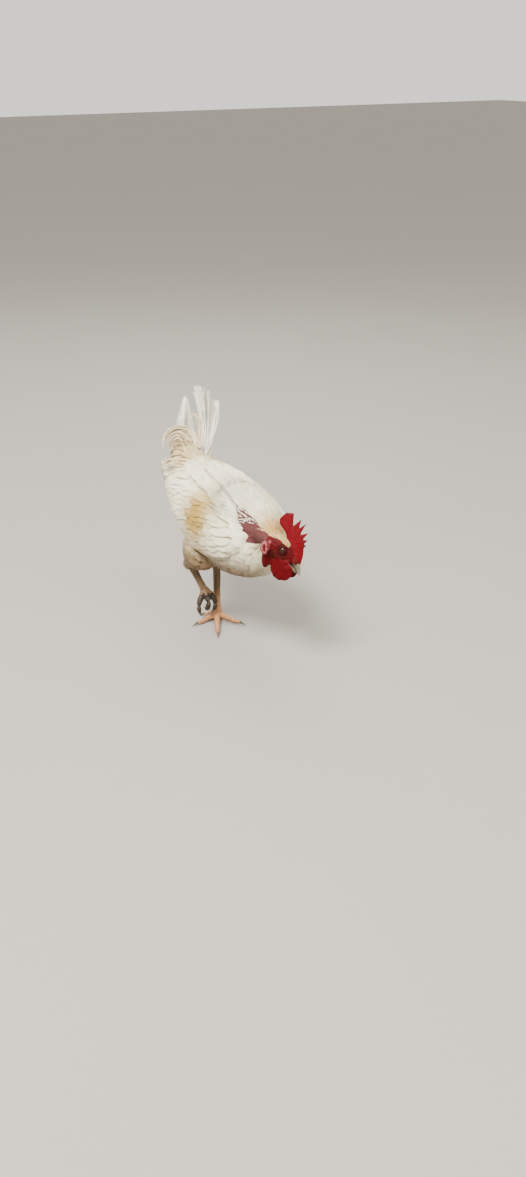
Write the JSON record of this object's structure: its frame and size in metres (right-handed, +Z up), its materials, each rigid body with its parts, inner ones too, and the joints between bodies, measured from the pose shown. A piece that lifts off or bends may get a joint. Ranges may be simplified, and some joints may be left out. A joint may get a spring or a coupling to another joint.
{
  "type": "rooster",
  "caption": "Still life-size white rooster in mid-step, standing on one foot with its head lowered, single red comb, hanging wattles and upright tail",
  "frame": {"origin": "middle of the flat underside of the standing (left) foot, on the floor", "axes": "-Y is the way the bird walks, +X its left side, +Z up"},
  "size_m": [0.1519, 0.3609, 0.381],
  "materials": {
    "plumage": "matte feathers, white to cream",
    "comb_red": "soft granulated skin, low sheen",
    "face_red": "wrinkled bare skin, low sheen",
    "earlobe": "wrinkled pale skin",
    "eye": "wet gloss",
    "horn": "pale horn, satin",
    "leg_skin": "scaly skin, satin"
  },
  "bodies": {
    "root": {"beak_lower": "horn", "beak_upper": "horn", "claw_left_hind": "horn", "claw_left_inner": "horn", "claw_left_middle": "horn", "claw_left_outer": "horn", "claw_right_hind": "horn", "claw_right_inner": "horn", "claw_right_middle": "horn", "claw_right_outer": "horn", "comb": "comb_red", "earlobe_left": "earlobe", "earlobe_right": "earlobe", "eye_left": "eye", "eye_right": "eye", "head": "face_red", "neck": "plumage", "shank_left": "leg_skin", "shank_right": "leg_skin", "sickle_1": "plumage", "sickle_2": "plumage", "sickle_3": "plumage", "sickle_4": "plumage", "spur_left": "horn", "spur_right": "horn", "tail_feather_1": "plumage", "tail_feather_2": "plumage", "tail_feather_3": "plumage", "tail_feather_4": "plumage", "tail_feather_5": "plumage", "tail_feather_6": "plumage", "tail_feather_7": "plumage", "tail_root": "plumage", "thigh_left": "plumage", "thigh_right": "plumage", "throat": "face_red", "toe_left_hind": "leg_skin", "toe_left_inner": "leg_skin", "toe_left_middle": "leg_skin", "toe_left_outer": "leg_skin", "toe_right_hind": "leg_skin", "toe_right_inner": "leg_skin", "toe_right_middle": "leg_skin", "toe_right_outer": "leg_skin", "trunk": "plumage", "wattle_left": "comb_red", "wattle_right": "comb_red", "wing_left": "plumage", "wing_right": "plumage"}
  },
  "joints": []
}
